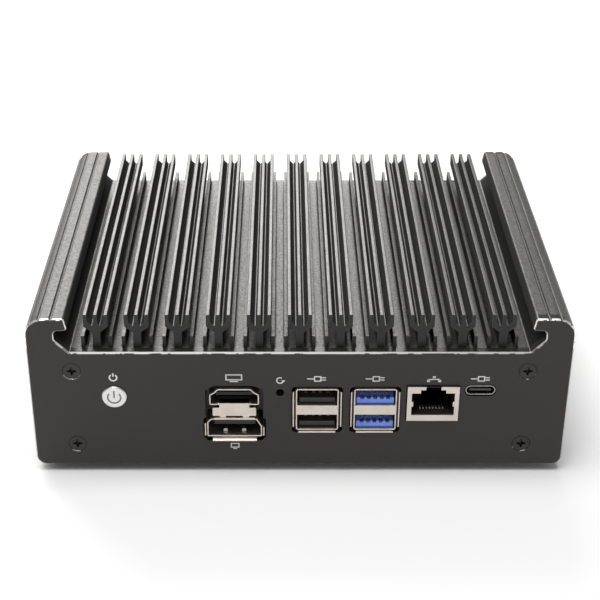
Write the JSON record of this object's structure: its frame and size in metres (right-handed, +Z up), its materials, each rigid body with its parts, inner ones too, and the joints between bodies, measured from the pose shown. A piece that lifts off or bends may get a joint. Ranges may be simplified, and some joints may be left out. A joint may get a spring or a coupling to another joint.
{
  "type": "mini pc",
  "caption": "Fanless mini computer: a black finned aluminium housing between flat front and rear panels with a power button and a row of ports, standing on rubber feet.",
  "frame": {"origin": "on the surface that the rubber feet stand on, under the middle of the case, port noses included", "axes": "+X to the right seen from the front, +Y from the front panel to the rear panel, +Z up"},
  "size_m": [0.1662, 0.1286, 0.0558],
  "materials": {
    "block_aluminium": "satin",
    "board_green": "satin",
    "button_silver": "satin",
    "cell_steel": "satin",
    "chip_black": "matte",
    "contact_gold": "polished",
    "cover_black": "satin",
    "die_silicon": "polished",
    "foot_rubber": "matte",
    "housing_black": "satin",
    "light_lens": "gloss",
    "pad_grey": "matte",
    "panel_black": "satin",
    "plastic_black": "matte",
    "plastic_blue": "matte",
    "plastic_ivory": "matte",
    "port_nickel": "satin",
    "screw_black": "satin",
    "screw_steel": "satin"
  },
  "bodies": {
    "case": {"antenna_hole_plugs": "foot_rubber", "black_usb_contacts": "contact_gold", "black_usb_shell": "port_nickel", "black_usb_tongues": "plastic_black", "blue_usb_contacts": "contact_gold", "blue_usb_shell": "port_nickel", "blue_usb_tongues": "plastic_blue", "board_screws": "screw_steel", "board_spacers": "contact_gold", "bottom_cover": "cover_black", "bottom_cover_screws": "screw_black", "capacitors": "cell_steel", "clear_switch_body": "plastic_ivory", "coin_cell": "cell_steel", "coin_cell_holder": "plastic_black", "com_jack_contacts": "contact_gold", "com_jack_insert": "plastic_black", "com_jack_shield": "port_nickel", "dc_jack_body": "plastic_black", "dc_jack_pin": "port_nickel", "drive_sockets": "plastic_black", "foot_screws": "screw_steel", "front_panel": "panel_black", "front_panel_screws": "screw_black", "heat_block": "block_aluminium", "heat_block_screws": "screw_steel", "heatsink_housing": "housing_black", "lan_jack_contacts": "contact_gold", "lan_jack_inserts": "plastic_black", "lan_jack_lights": "light_lens", "lan_jack_shields": "port_nickel", "lower_video_latches": "port_nickel", "lower_video_shell": "port_nickel", "lower_video_tongue": "plastic_black", "memory_module": "board_green", "memory_socket": "plastic_black", "memory_socket_latches": "port_nickel", "module_chips": "chip_black", "motherboard": "board_green", "network_chips": "chip_black", "power_coils": "chip_black", "power_switch_body": "plastic_black", "processor_die": "die_silicon", "processor_package": "board_green", "rear_panel": "panel_black", "rear_panel_screws": "screw_black", "rubber_feet": "foot_rubber", "storage_module": "board_green", "storage_screw": "screw_steel", "storage_slot": "plastic_black", "thermal_pad": "pad_grey", "upper_video_shell": "port_nickel", "upper_video_tongue": "plastic_black", "usb_c_shell": "port_nickel", "usb_c_tongue": "plastic_black", "video_stack_bracket": "port_nickel", "video_stack_housing": "plastic_black"},
    "power_button": {"power_button": "button_silver", "power_switch_plunger": "plastic_ivory"},
    "clear_switch": {"clear_switch_plunger": "plastic_black"}
  },
  "joints": [
    {"name": "power_button_press", "type": "slide", "parent": "case", "child": "power_button", "axis": [0, 1, 0], "range_m": [0, 0.001], "stiffness_N_per_m": 2000, "springref_m": -0.0005},
    {"name": "clear_switch_press", "type": "slide", "parent": "case", "child": "clear_switch", "axis": [0, 1, 0], "range_m": [0, 0.00025], "stiffness_N_per_m": 5000, "springref_m": -0.0001}
  ]
}
